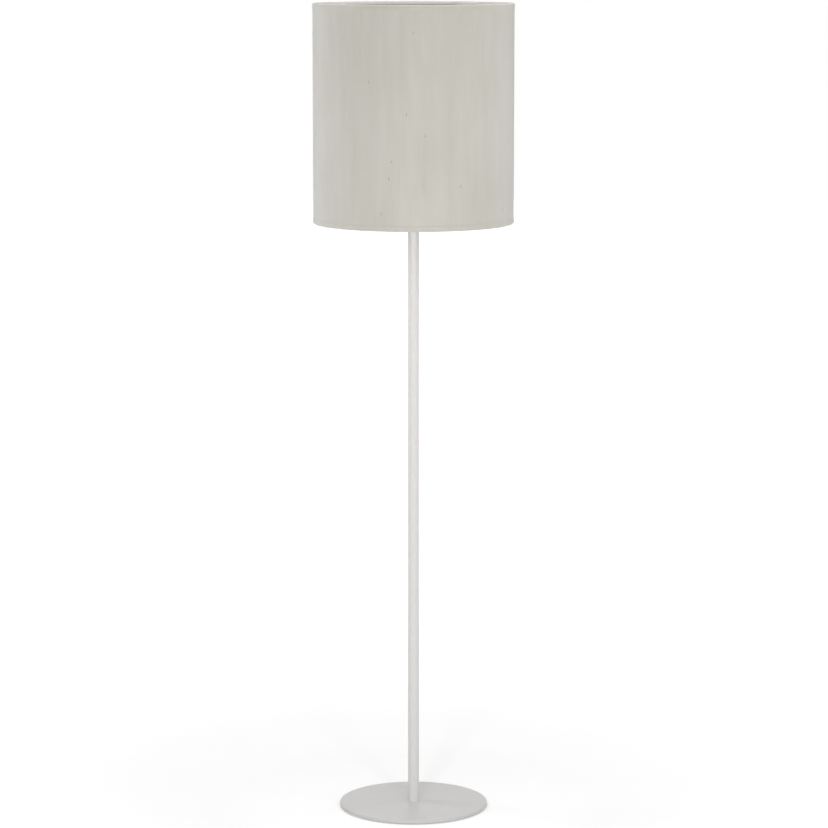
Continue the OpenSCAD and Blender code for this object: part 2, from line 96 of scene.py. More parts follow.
def number(name, description, default, high=1000.0):
    """A plain number that a user can change."""
    return bpy.props.FloatProperty(name=name, description=description, default=default, min=0.0, max=high)


def colour(name, description, default):
    """A linear colour that a user can change."""
    return bpy.props.FloatVectorProperty(name=name, description=description, default=default, size=3,
                                         min=0.0, max=1.0, subtype="COLOR")


class ShadeSettings(bpy.types.PropertyGroup):
    cloth_thickness: length("Cloth thickness", "Thickness of the shade's fabric", 0.0006)
    lining_thickness: length("Lining thickness", "Thickness of the stiff lining", 0.0006)
    hem_thickness: length("Hem thickness", "Thickness of the strip that is folded over the edges", 0.0005)
    hem_height: length("Hem height", "How far the hem reaches from the shade's edge, outside", 0.011)
    hem_tuck: length("Hem tuck", "How far the hem reaches from the shade's edge, inside", 0.0065)
    slub_count: bpy.props.IntProperty(name="Slubs", description="Number of thick places in the yarns",
                                      default=240, min=0, max=2000)
    slub_height: length("Slub height", "How far a single thick place stands out at most", 0.0001)
    knot_length: length("Knot length", "Length of a knotted place in a yarn", 0.0062)
    cloth_light: colour("Cloth, light", "Colour of the pale yarns", linear(206, 203, 196))
    cloth_dark: colour("Cloth, dark", "Colour of the dark yarns", linear(191, 188, 177))
    knot_colour: colour("Knots", "Colour of the knotted places", linear(158, 150, 131))
    lining_colour: colour("Lining", "Colour of the lining", linear(221, 219, 212))


class HolderSettings(bpy.types.PropertyGroup):
    mantle_pitch: length("Mantle pitch", "Pitch of the thread that takes the ring nut", 0.0025)
    mantle_depth: length("Mantle thread depth", "Depth of that thread", 0.0007)
    cap_pitch: length("Bulb cap pitch", "Pitch of the bulb's screw cap", 0.00363)
    cap_depth: length("Bulb cap thread depth", "Depth of that thread", 0.0007)
    bar_edge: length("Bar edge", "Radius of the push bar's edges", 0.0011)
    plastic: colour("Holder plastic", "Colour of the lampholder", linear(236, 234, 229))


class FootSettings(bpy.types.PropertyGroup):
    felt_edge: length("Felt edge", "Radius of the felt's edges", 0.0006)
    # The foot is taken to wear the stem's paint. Its colour is set darker than the stem's as painted shade,
    # for the flat foot showing darker than the upright stem.
    enamel: colour("Foot enamel", "Colour of the foot", linear(202, 200, 198))
    stem_enamel: colour("Stem enamel", "Colour of the stem", linear(214, 212, 210))
    peel: length("Orange peel", "Depth of the enamel's orange peel", 0.00003)


class StudioSettings(bpy.types.PropertyGroup):
    camera_distance: length("Camera distance", "From the stem's axis to the camera", 6.3)
    camera_height: length("Camera height", "Height of the camera above the floor", 1.757)
    aim_height: length("Aim height", "Height above the floor that the camera looks at", 0.8087)
    aim_side: length("Aim side", "How far to the right of the stem's axis the camera looks", 0.001)
    lens: number("Lens", "Focal length in millimetres on a 36 mm wide frame", 137.8)
    sky: number("Sky", "Strength of the light from all round", 0.5)
    lamps: number("Lamps", "Share of the lamps' power", 1.0, high=10.0)
    floor_tone: number("Floor tone", "How much light the floor gives back", 0.8, high=1.0)
    near_glow: number("Near glow", "White added where the camera sees the floor, close to the foot", 0.27)
    far_glow: number("Far glow", "White added where the camera sees the floor, far away", 0.85)
    glow_start: length("Glow start", "Distance from the stem's axis where the near glow begins to rise", 0.4)
    glow_end: length("Glow end", "Distance from the stem's axis where the far glow is reached", 2.4)


SETTINGS = {"lamp_shade": ShadeSettings, "lamp_holder": HolderSettings, "lamp_foot": FootSettings,
            "lamp_studio": StudioSettings}


# ---- surfaces ----

def surface(name, points, around=True, along=False, uv=None):
    """A mesh of quads over a grid of points with the shape rows, columns, 3, or over several such grids.

    Quad (i, j) joins points (i, j), (i, j+1), (i+1, j+1) and (i+1, j). Along the columns the grid closes on
    itself if around is set, and along the rows if along is set. Points that fall together, as at a pole, are
    merged, and then the faces are turned outwards. uv holds the cloth's first coordinate for each column and
    its second for each row, and for the closing ones too.
    """
    grids = points.reshape(-1, *points.shape[-3:])
    copies, rows, columns = grids.shape[:3]
    i, j = np.meshgrid(np.arange(rows - (not along)), np.arange(columns - (not around)), indexing="ij")
    corners_i = np.stack([i, i, i + 1, i + 1], -1).reshape(-1, 4)
    corners_j = np.stack([j, j + 1, j + 1, j], -1).reshape(-1, 4)
    quads = (corners_i % rows) * columns + corners_j % columns
    quads = (quads[None] + np.arange(copies)[:, None, None] * rows * columns).reshape(-1, 4)
    mesh = bpy.data.meshes.new(name)
    mesh.vertices.add(copies * rows * columns)
    mesh.vertices.foreach_set("co", grids.astype(np.float32).ravel())
    mesh.loops.add(quads.size)
    mesh.loops.foreach_set("vertex_index", quads.astype(np.int32).ravel())
    mesh.polygons.add(len(quads))
    mesh.polygons.foreach_set("loop_start", np.arange(0, quads.size, 4, dtype=np.int32))
    mesh.update(calc_edges=True)
    if uv is not None:
        across, down = uv
        pairs = np.tile(np.stack([across[corners_j], down[corners_i]], -1).reshape(-1, 2), (copies, 1))
        mesh.uv_layers.new(name="cloth").data.foreach_set("uv", pairs.astype(np.float32).ravel())
    shell = bmesh.new()
    shell.from_mesh(mesh)
    bmesh.ops.remove_doubles(shell, verts=shell.verts, dist=1e-6)
    bmesh.ops.recalc_face_normals(shell, faces=shell.faces)
    shell.to_mesh(mesh)
    shell.free()
    mesh.shade_smooth()
    mesh.set_sharp_from_angle(angle=math.radians(42))
    piece = bpy.data.objects.new(name, mesh)
    bpy.context.scene.collection.objects.link(piece)
    return piece


def rounded(corners, cut, steps=5):
    """A closed outline with its corners rounded off.

    Each corner P gives way to the curve (1-t)^2 A + 2t(1-t) P + t^2 B, where A and B lie on its two sides at
    the distance cut, or at a third of the side if that is shorter.
    """
    corners = np.asarray(corners, float)
    before, after = np.roll(corners, 1, 0) - corners, np.roll(corners, -1, 0) - corners
    cut = np.broadcast_to(np.asarray(cut, float), len(corners))
    reach = [np.minimum(cut, np.linalg.norm(side, axis=1) / 3) / np.linalg.norm(side, axis=1)
             for side in (before, after)]
    start, end = corners + before * reach[0][:, None], corners + after * reach[1][:, None]
    t = np.linspace(0, 1, steps)[None, :, None]
    curve = (1 - t) ** 2 * start[:, None] + 2 * t * (1 - t) * corners[:, None] + t ** 2 * end[:, None]
    return curve.reshape(-1, 2)


def way_along(outline):
    """How far it is along a closed outline to each of its points, and back to the first."""
    steps = np.linalg.norm(np.diff(np.vstack([outline, outline[:1]]), axis=0), axis=1)
    return np.concatenate([[0], np.cumsum(steps)])


def divided(outline, step):
    """A closed outline with points added, so that none are further apart than step along it."""
    closed, along = np.vstack([outline, outline[:1]]), way_along(outline)
    stations = np.union1d(along, np.arange(0, along[-1], step))
    stations = stations[np.concatenate([[True], np.diff(stations) > 1e-7])][:-1]
    return np.stack([np.interp(stations, along, closed[:, k]) for k in (0, 1)], 1)


def turned(name, outline, columns, push=None, uv_radius=None):
    """The surface that an outline of radii and heights sweeps round the stem's axis, a full turn.

    The point at angle a is (r cos a, r sin a, z), with r changed by push(a, r, z) where that is given. The
    cloth's coordinates are the arc length at uv_radius and the way along the outline.
    """
    angle = np.arange(columns) * 2 * math.pi / columns
    r, z = outline[:, :1] + 0 * angle, outline[:, 1:] + 0 * angle
    if push is not None:
        r = r + push(angle[None, :] + 0 * r, r, z)
    points = np.stack([r * np.cos(angle), r * np.sin(angle), z], -1)
    uv = None
    if uv_radius is not None:
        uv = np.arange(columns + 1) * 2 * math.pi / columns * uv_radius, way_along(outline)
    return surface(name, points, along=True, uv=uv)


def turn_from(angle, place):
    """How far an angle is turned from a place, from minus half a turn to half a turn."""
    return (angle - place + math.pi) % (2 * math.pi) - math.pi


def smooth_step(x, start, end):
    """0 below start, 1 above end and 3t^2 - 2t^3 between them."""
    t = np.clip((x - start) / (end - start), 0, 1)
    return t * t * (3 - 2 * t)


def screw_thread(angle, z, pitch, depth, low, high):
    """How far a rounded thread draws a wall in: depth (1 - cos(2 pi (z / pitch - angle / 2 pi))) / 2.

    It runs out over half a pitch at both ends.
    """
    groove = depth * (0.5 - 0.5 * np.cos(2 * math.pi * z / pitch - angle))
    return groove * smooth_step(z, low, low + pitch / 2) * (1 - smooth_step(z, high - pitch / 2, high))


def keep(piece, body, slot, material, *stands_for):
    """Gives a new piece its body and its material, and hides the CAD nodes that it stands for."""
    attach(piece, body)
    piece.data.materials.append(material)
    if stands_for:
        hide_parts(*stands_for)
    return piece


# ---- materials ----

class Finish:
    """One material: a Principled shader with plain values on its own sockets, and nodes for what varies."""

    def __init__(self, name, base, roughness, coordinates="Object", **values):
        self.material = bpy.data.materials.new(name)
        self.material.use_nodes = True
        self.tree = self.material.node_tree
        self.shader = self.tree.nodes["Principled BSDF"]
        self.shader.inputs["Base Color"].default_value = (*base, 1)
        self.shader.inputs["Roughness"].default_value = roughness
        for socket, value in values.items():
            self.shader.inputs[socket.replace("_", " ")].default_value = value
        place = self.tree.nodes.new("ShaderNodeTexCoord")
        self.place = place.outputs[coordinates]
        self.relief = None

    def link(self, source, node, socket):
        self.tree.links.new(source, node.inputs[socket])
        return node

    def grain(self, scale, detail=2.0, rough=0.5, twist=0.0):
        """Noise with so many cells to the metre along each axis."""
        mapping = self.link(self.place, self.tree.nodes.new("ShaderNodeMapping"), "Vector")
        mapping.inputs["Scale"].default_value = scale if isinstance(scale, tuple) else (scale,) * 3
        noise = self.link(mapping.outputs["Vector"], self.tree.nodes.new("ShaderNodeTexNoise"), "Vector")
        noise.inputs["Scale"].default_value = 1.0
        noise.inputs["Detail"].default_value = detail
        noise.inputs["Roughness"].default_value = rough
        noise.inputs["Distortion"].default_value = twist
        return noise.outputs["Fac"]

    def span(self, source, low, high, to_low=0.0, to_high=1.0):
        """A value carried from one span to another, and kept inside it."""
        node = self.link(source, self.tree.nodes.new("ShaderNodeMapRange"), "Value")
        for socket, value in zip(("From Min", "From Max", "To Min", "To Max"), (low, high, to_low, to_high)):
            node.inputs[socket].default_value = value
        return node.outputs["Result"]

    def times(self, source, factor):
        """A value multiplied by a number."""
        node = self.link(source, self.tree.nodes.new("ShaderNodeMath"), 0)
        node.operation = "MULTIPLY"
        node.inputs[1].default_value = factor
        return node.outputs[0]

    def sum(self, first, second, operation="ADD", factor=None):
        """Two values added, or joined by another operation, the second times factor if that is given."""
        node = self.link(first, self.tree.nodes.new("ShaderNodeMath"), 0)
        node.operation = operation
        self.link(second if factor is None else self.times(second, factor), node, 1)
        return node.outputs[0]

    def tint(self, source, dark, light):
        """Blends the base colour between two colours."""
        mix = self.tree.nodes.new("ShaderNodeMix")
        mix.data_type = "RGBA"
        self.link(source, mix, 0)
        mix.inputs[6].default_value = (*dark, 1)
        mix.inputs[7].default_value = (*light, 1)
        self.link(mix.outputs[2], self.shader, "Base Color")

    def rub(self, source, low, high):
        """Lets the roughness vary between two values."""
        self.link(self.span(source, 0.3, 0.7, low, high), self.shader, "Roughness")

    def emboss(self, source, depth):
        """Adds a relief, so many metres deep."""
        bump = self.link(source, self.tree.nodes.new("ShaderNodeBump"), "Height")
        bump.inputs["Strength"].default_value = 1.0
        bump.inputs["Distance"].default_value = depth
        if self.relief is not None:
            self.link(self.relief, bump, "Normal")
        self.relief = bump.outputs["Normal"]
        self.link(self.relief, self.shader, "Normal")


def shaded(base, share):
    """A colour made darker or lighter by a share."""
    return tuple(min(1.0, c * share) for c in base)


def enamel(name, base, peel):
    """Satin powder coat: a faint cloudiness, uneven gloss and orange peel about 1.5 mm across."""
    finish = Finish(name, base, 0.42, Specular_IOR_Level=0.3)
    finish.tint(finish.span(finish.grain(9.0, 3), 0.3, 0.7), shaded(base, 0.985), shaded(base, 1.012))
    finish.rub(finish.grain(60.0, 3), 0.38, 0.47)
    finish.emboss(finish.grain(650.0, 2, 0.4), peel)
    finish.emboss(finish.grain(4000.0, 2), peel / 8)
    return finish.material


def moulded(name, base, gloss, grain_depth=0.000008):
    """Moulded plastic: even colour with slight flow clouds and the mould's fine spark grain."""
    finish = Finish(name, base, gloss)
    clouds = finish.grain(45.0, 3, twist=1.5)
    finish.tint(finish.span(clouds, 0.3, 0.7), shaded(base, 0.98), shaded(base, 1.01))
    finish.rub(finish.grain(180.0, 3), gloss * 0.88, gloss * 1.14)
    finish.emboss(finish.grain(2600.0, 3, 0.6), grain_depth)
    return finish.material


def plated(name, base, gloss, tarnish):
    """Plated or bare metal: fine marks, closer together up the axis than across it, and cloudy tarnish."""
    finish = Finish(name, base, gloss, Metallic=1.0)
    finish.tint(finish.span(finish.grain(70.0, 4, 0.6, 0.8), 0.42, 0.66), base, tarnish)
    finish.rub(finish.grain(175.0, 4), gloss * 0.8, gloss * 1.35)
    finish.emboss(finish.grain((900.0, 900.0, 3200.0), 2), 0.000006)
    return finish.material


def ceramic():
    """Unglazed steatite: nearly white, with fine pits and faint darker specks."""
    base = linear(228, 225, 216)
    finish = Finish("steatite", base, 0.58)
    finish.tint(finish.span(finish.grain(900.0, 3, 0.7), 0.62, 0.74), base, shaded(base, 0.82))
    finish.rub(finish.grain(300.0, 2), 0.5, 0.66)
    finish.emboss(finish.grain(1500.0, 4, 0.65), 0.00003)
    return finish.material


def board_coat():
    """White printed coating of the light board, with faint shapes as of the tracks under it."""
    base = linear(238, 238, 235)
    finish = Finish("board_coat", base, 0.35)
    finish.tint(finish.span(finish.grain(120.0, 2, twist=0.4), 0.48, 0.52), base, shaded(base, 0.93))
    finish.emboss(finish.grain(500.0, 2), 0.00001)
    return finish.material


def opal():
    """Opal diffuser: milky, lets light into its skin, with a faint frosting."""
    base = linear(243, 243, 239)
    finish = Finish("opal", base, 0.36, Subsurface_Weight=0.35, Subsurface_Scale=0.004)
    finish.shader.inputs["Subsurface Radius"].default_value = (1.0, 0.95, 0.85)
    finish.tint(finish.span(finish.grain(25.0, 2), 0.3, 0.7), shaded(base, 0.985), shaded(base, 1.0))
    finish.rub(finish.grain(200.0, 3), 0.32, 0.42)
    finish.emboss(finish.grain(1800.0, 2), 0.000004)
    return finish.material


def felt_finish():
    """Pressed felt: matt grey with matted fibres and paler flecks."""
    base = linear(70, 70, 73)
    finish = Finish("pressed_felt", base, 0.95, Sheen_Weight=0.35, Sheen_Roughness=0.6)
    fibres = finish.grain((1100.0, 1100.0, 1100.0), 5, 0.75, 2.2)
    finish.tint(finish.span(fibres, 0.35, 0.68), shaded(base, 0.72), shaded(base, 1.55))
    finish.emboss(fibres, 0.0004)
    finish.emboss(finish.grain(90.0, 2), 0.0004)
    return finish.material


def lining_film(settings):
    """Stiff laminated film: smooth, slightly cloudy, with the cloth's yarns showing faintly through it."""
    base = tuple(settings.lining_colour)
    finish = Finish("lining_film", base, 0.5, coordinates="UV")
    yarns = finish.grain((1400.0, 18.0, 1.0), 3, 0.6)
    finish.tint(finish.span(finish.sum(finish.grain((40.0, 6.0, 1.0), 3), yarns, factor=0.5), 0.55, 0.95),
                shaded(base, 0.965), shaded(base, 1.01))
    finish.rub(finish.grain((70.0, 20.0, 1.0), 2), 0.44, 0.56)
    finish.emboss(yarns, 0.00005)
    return finish.material


def slub_cloth(settings, name="slub_cloth"):
    """Plain weave of uneven yarns, read in metres of arc and height from the piece's own cloth coordinates.

    The surface rises and dips as the product of two sines, with waves 0.55 mm long round the shade and 0.6 mm
    up it. Noise drawn out along the warp makes yarns thick and thin and light and dark, noise drawn out along
    the weft does the same faintly, and broad bands and clouds and the piece's slub attribute, where it has
    one, add what shows from afar.
    """
    light, dark = tuple(settings.cloth_light), tuple(settings.cloth_dark)
    finish = Finish(name, light, 0.92, coordinates="UV", Sheen_Weight=0.9, Sheen_Roughness=0.36,
                    Specular_IOR_Level=0.25)
    finish.shader.inputs["Sheen Tint"].default_value = (1.0, 1.0, 1.0, 1.0)
    bands = finish.grain((46.0, 5.5, 1.0), 3, 0.55)
    warp = finish.grain((820.0, 16.0, 1.0), 3, 0.6)
    weft = finish.grain((14.0, 760.0, 1.0), 3, 0.6)
    clouds = finish.grain((6.0, 4.0, 1.0), 2)
    slub = finish.tree.nodes.new("ShaderNodeAttribute")
    slub.attribute_name = "slub"
    tone = finish.sum(finish.sum(clouds, bands, factor=0.8), warp, factor=0.8)
    tone = finish.sum(tone, weft, factor=0.3)
    tone = finish.sum(tone, slub.outputs["Fac"], factor=-0.12)
    finish.tint(finish.span(tone, 0.95, 1.95), dark, light)
    split = finish.link(finish.place, finish.tree.nodes.new("ShaderNodeSeparateXYZ"), 0)
    waves = []
    for axis, pitch, wander in ((0, 0.00055, warp), (1, 0.0006, weft)):
        phase = finish.times(split.outputs[axis], 2 * math.pi / pitch)
        wave = finish.link(finish.sum(phase, wander, factor=1.8), finish.tree.nodes.new("ShaderNodeMath"), 0)
        wave.operation = "SINE"
        waves.append(wave.outputs[0])
    finish.emboss(finish.sum(waves[0], waves[1], "MULTIPLY"), 0.00009)
    finish.emboss(warp, 0.00045)
    finish.emboss(weft, 0.00018)
    return finish.material


def knotted_yarn(settings):
    """A knotted place in a yarn: twisted fibres, darker than the cloth round it."""
    base = tuple(settings.knot_colour)
    finish = Finish("knotted_yarn", base, 0.95, Sheen_Weight=0.3, Sheen_Roughness=0.6)
    fibres = finish.grain((2600.0, 2600.0, 700.0), 3, 0.6, 1.0)
    finish.tint(finish.span(fibres, 0.3, 0.7), shaded(base, 0.85), shaded(base, 1.15))
    finish.emboss(fibres, 0.00012)
    return finish.material


# ---- operators ----

def slub_field(angle, z, settings, low, high, radius):
    """How thick the yarns are at angles and heights on the shade, mostly between -1 and 1.

    Each slub is a ridge or a hollow size exp(-(arc / width)^2) exp(-((z - middle) / reach)^4), 3 to 13 mm
    wide and 30 to 110 mm to either side of its middle. Its size and place are drawn with a fixed seed.
    """
    draw = np.random.default_rng(20)
    field = np.zeros_like(z)
    for _ in range(settings.slub_count):
        middle = draw.uniform(low, high)
        width, reach = draw.uniform(0.003, 0.013), draw.uniform(0.03, 0.11)
        place, size = draw.uniform(0, 2 * math.pi), draw.uniform(-1, 1)
        arc = turn_from(angle, place) * radius
        field += size * np.exp(-(arc / width) ** 2 - ((z - middle) / reach) ** 4)
    return field


class LAMP_OT_shade_cloth(bpy.types.Operator):
    """The slubbed fabric and the stiff lining that it is laminated to"""
    bl_idname = "lamp.shade_cloth"
    bl_label = "Shade cloth"
    bl_options = {"REGISTER", "UNDO"}

    CUT_EDGE = 0.0001  # how far the cut edges are rounded
    COVER_STEP, FILM_STEP = 0.0046, 0.03  # the most that a row of faces is high
    RELIEF = (-0.00025, 0.0004)  # how far slubs that lie together may draw the cloth in and push it out

    def execute(self, context):
        settings = context.scene.lamp_shade
        low, high = heights("shade_fabric")
        outer, lining = radii("shade_fabric")[1], radii("shade_lining")[1]
        inner = outer - settings.cloth_thickness
        middle = (inner + outer) / 2

        def wall(r_in, r_out, step):
            corners = [(r_out, low), (r_out, high), (r_in, high), (r_in, low)]
            return divided(rounded(corners, self.CUT_EDGE, 4), step)

        def slubs(angle, r, z):
            relief = settings.slub_height * slub_field(angle, z, settings, low, high, outer)
            return np.where(r > middle, np.clip(relief, *self.RELIEF), 0.0)

        outline = wall(inner, outer, self.COVER_STEP)
        ends = (outline[:, 1] < low + 0.001) | (outline[:, 1] > high - 0.001)
        cover = turned("shade_cover", outline[ends | (outline[:, 0] > middle)], 640, slubs, outer)
        film = turned("lining_film", wall(lining - settings.lining_thickness, lining, self.FILM_STEP), 480,
                      uv_radius=lining)
        x, y, z = mesh_points(cover.data)
        field = slub_field(np.arctan2(y, x), z, settings, low, high, outer)
        slub = cover.data.attributes.new("slub", "FLOAT", "POINT")
        slub.data.foreach_set("value", field.astype(np.float32))
        keep(cover, "shade", "shade_fabric", slub_cloth(settings), "shade_fabric")
        keep(film, "shade", "shade_lining", lining_film(settings), "shade_lining")
        low, high = heights("shade_lining")
        return {"FINISHED"}


class LAMP_OT_shade_hems(bpy.types.Operator):
    """The strips folded over the shade's edges, the overlap seam at the back and the knots in the yarns"""
    bl_idname = "lamp.shade_hems"
    bl_label = "Shade hems"
    bl_options = {"REGISTER", "UNDO"}

    FOLD_HEIGHT = 0.0045  # height at the shade's edge that holds a hem's fold round the wire
    OUTER_WAVER, INNER_WAVER = 0.00025, 0.0003  # how far a hem's outer and inner end stray
    CUT_TURN = math.radians(130)  # how far round the wire the lower hem goes where an arm joins it
    CUT_REACH = (0.0027, 0.0045)  # from an arm to where the cut begins to fade, and to where it ends
    SEAM_WAVER = 0.00022  # about how far the seam's long edges stray
    KNOT_WIDTH, KNOT_RISE = 0.00085, 0.00045  # half a knot's width, and half its thickness
    KNOT_BEND, KNOT_LIFT = 0.0003, 0.0001  # how far a knot's line bends, and lies outside the cloth

    def execute(self, context):
        settings = context.scene.lamp_shade
        cloth = slub_cloth(settings, "hem_cloth")
        hems = [keep(self.hem(name, node, side, settings), "shade", "shade_fabric", cloth, node)
                for name, node, side in (("upper_hem", "top_hem", 1), ("lower_hem", "bottom_hem", -1))]
        seam = keep(self.seam(), "shade", "shade_fabric", cloth, "back_seam")
        knots = keep(self.knots(settings), "shade", "shade_fabric", knotted_yarn(settings))
        2 * math.pi * radii("shade_fabric")[1]
        return {"FINISHED"}

    def hem(self, name, node, side, settings):
        """A strip folded over a wire ring: along the outside, round the wire and back behind it.

        The middle of the strip goes a straight way, a half circle and a straight way again, and its two faces
        lie half a thickness to either side. Its cut ends are rounded and not quite straight. Where an arm
        joins the lower ring, the inner end is cut back, over a width of 5 to 9 mm.
        """
        thick, half = settings.hem_thickness, settings.hem_thickness / 2
        outer = radii(node)[1]
        inner = radii(node, *self.inner_leg(node, side))[0]
        middle, bend = (outer + inner) / 2, (outer - inner) / 2 - half
        centre = heights(node)[side > 0] - side * (bend + half)
        straight = settings.hem_height - (bend + half)
        folded = straight + math.pi * bend
        full = folded + settings.hem_tuck - (bend + half)
        columns = 960
        angle = np.arange(columns) * 2 * math.pi / columns
        start = self.OUTER_WAVER * np.sin(11 * angle + 2) * np.sin(4 * angle)
        end = full + self.INNER_WAVER * np.sin(7 * angle) * np.sin(3 * angle + 1)
        if side < 0:
            cut = straight + bend * self.CUT_TURN
            for place in arm_angles():
                gap = np.abs(turn_from(angle, place)) * inner
                end = end - (end - cut) * (1 - smooth_step(gap, *self.CUT_REACH))
        way = np.concatenate([np.linspace(0, straight / full, 7)[:-1],
                              np.linspace(straight / full, folded / full, 19)[:-1],
                              np.linspace(folded / full, 1, 5)])[:, None]
        turn = np.linspace(0, math.pi, 6)[1:-1, None]
        tip, across = half * np.sin(turn), half * np.cos(turn)
        out = start + half + way * (end - start - thick)
        s = np.concatenate([out, end - half + tip, out[::-1], start + half - tip])
        off = np.concatenate([half + 0 * way, across, -half + 0 * way, -across]) + 0 * angle
        bow = np.clip((s - straight) / bend, 0, math.pi)
        rise = np.maximum(straight - s, 0) + np.maximum(s - folded, 0)
        r = middle + (bend + off) * np.cos(bow)
        z = centre + side * ((bend + off) * np.sin(bow) - rise)
        points = np.stack([r * np.cos(angle), r * np.sin(angle), z], -1)
        turns = np.arange(columns + 1) * 2 * math.pi / columns * outer
        return surface(name, points, along=True, uv=(turns, np.append(s.mean(1), s.mean(1)[0])))

    def inner_leg(self, node, side):
        """The heights between which a hem's inner leg lies."""
        low, high = heights(node)
        return (low, high - self.FOLD_HEIGHT) if side > 0 else (low + self.FOLD_HEIGHT, high)

    def seam(self):
        """The cloth's overlap at the back: a strip on the shade's curve, its edges rounded and uneven.

        A point at the arc u and the height z lies at (-R sin(u / r), R cos(u / r), z), where R is r and how
        far the point stands out.
        """
        low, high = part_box("back_seam")
        inner = radii("shade_fabric")[1]
        stand, half = radii("back_seam")[1] - inner, (high.x - low.x) / 2
        z = np.linspace(low.z, high.z, 140)[:, None]
        corners = rounded([(-half, 0), (half, 0), (half, stand), (-half, stand)], stand * 0.45, 5)
        closing = np.minimum(1, np.minimum(z - low.z, high.z - z) / 0.001 + 0.25)
        edge = self.SEAM_WAVER * (np.sin(90 * z) * np.sin(41 * z + 1) + np.sin(410 * z) * 0.3)
        u = corners[None, :, 0] * (1 - 0.02 * (1 - closing)) + np.sign(corners[None, :, 0]) * edge
        off = stand / 2 + (corners[None, :, 1] - stand / 2) * closing
        ends = [np.stack([u[k], stand / 2 + 0 * u[k], z[k] + 0 * u[k]], -1) for k in (0, -1)]
        strip = np.concatenate([ends[:1], np.stack([u, off, z + 0 * u], -1), ends[1:]])
        u, off, z = strip[..., 0], strip[..., 1], strip[..., 2]
        points = np.stack([-(inner + off) * np.sin(u / inner), (inner + off) * np.cos(u / inner), z], -1)
        across = np.append(corners[:, 0], corners[0, 0])
        return surface("back_overlap", points, uv=(across, z[:, 0]))

    def knots(self, settings):
        """Knotted places in the yarns: spindles that lie on the cloth.

        Each is a tube along a slightly bent upright line, its half width the sine of the way along it to the
        power 0.8, flattened against the cloth. Those at the front have their own places, and the rest are
        drawn with a fixed seed.
        """
        low, high = heights("shade_fabric")
        radius = radii("shade_fabric")[1]
        front = np.array([(-0.1, 0.887), (-25.7, 0.664), (6.5, 0.425), (-12.2, 0.308), (-13.9, 0.232),
                          (-18.2, 0.074), (27.3, 0.195), (-3.9, 0.52)])
        draw = np.random.default_rng(7)
        rest = np.stack([draw.uniform(60, 300, 26), draw.uniform(0.06, 0.94, 26)], 1)
        turn, share = np.concatenate([front, rest]).T
        size = draw.uniform(0.75, 1.25, len(turn)) * settings.knot_length
        place = np.radians(turn) - math.pi / 2
        middle = low + share * (high - low)
        t = np.linspace(0, 1, 9)[None, :, None]
        phi = (np.arange(8) * math.pi / 4)[None, None, :]
        swell = np.sin(math.pi * t) ** 0.8
        arc = self.KNOT_WIDTH * swell * np.cos(phi) + self.KNOT_BEND * np.sin(2 * math.pi * t)
        off = self.KNOT_LIFT + self.KNOT_RISE * swell * np.sin(phi)
        z = middle[:, None, None] + size[:, None, None] * (t - 0.5) + 0 * phi
        a = place[:, None, None] + arc / radius
        points = np.stack([(radius + off) * np.cos(a), (radius + off) * np.sin(a), z], -1)
        return surface("slub_knots", points)


def arm_angles():
    """The directions of the carrier's arms, found from the ends that reach furthest out."""
    x, y, _ = mesh_points(nodes["carrier_arms"].data)
    far = np.hypot(x, y) > radii("carrier_arms")[1] * 0.9
    angle = np.sort(np.arctan2(y[far], x[far]) % (2 * math.pi))
    groups = np.split(angle, np.flatnonzero(np.diff(angle) > 0.3) + 1)
    return [float(group.mean()) for group in groups]


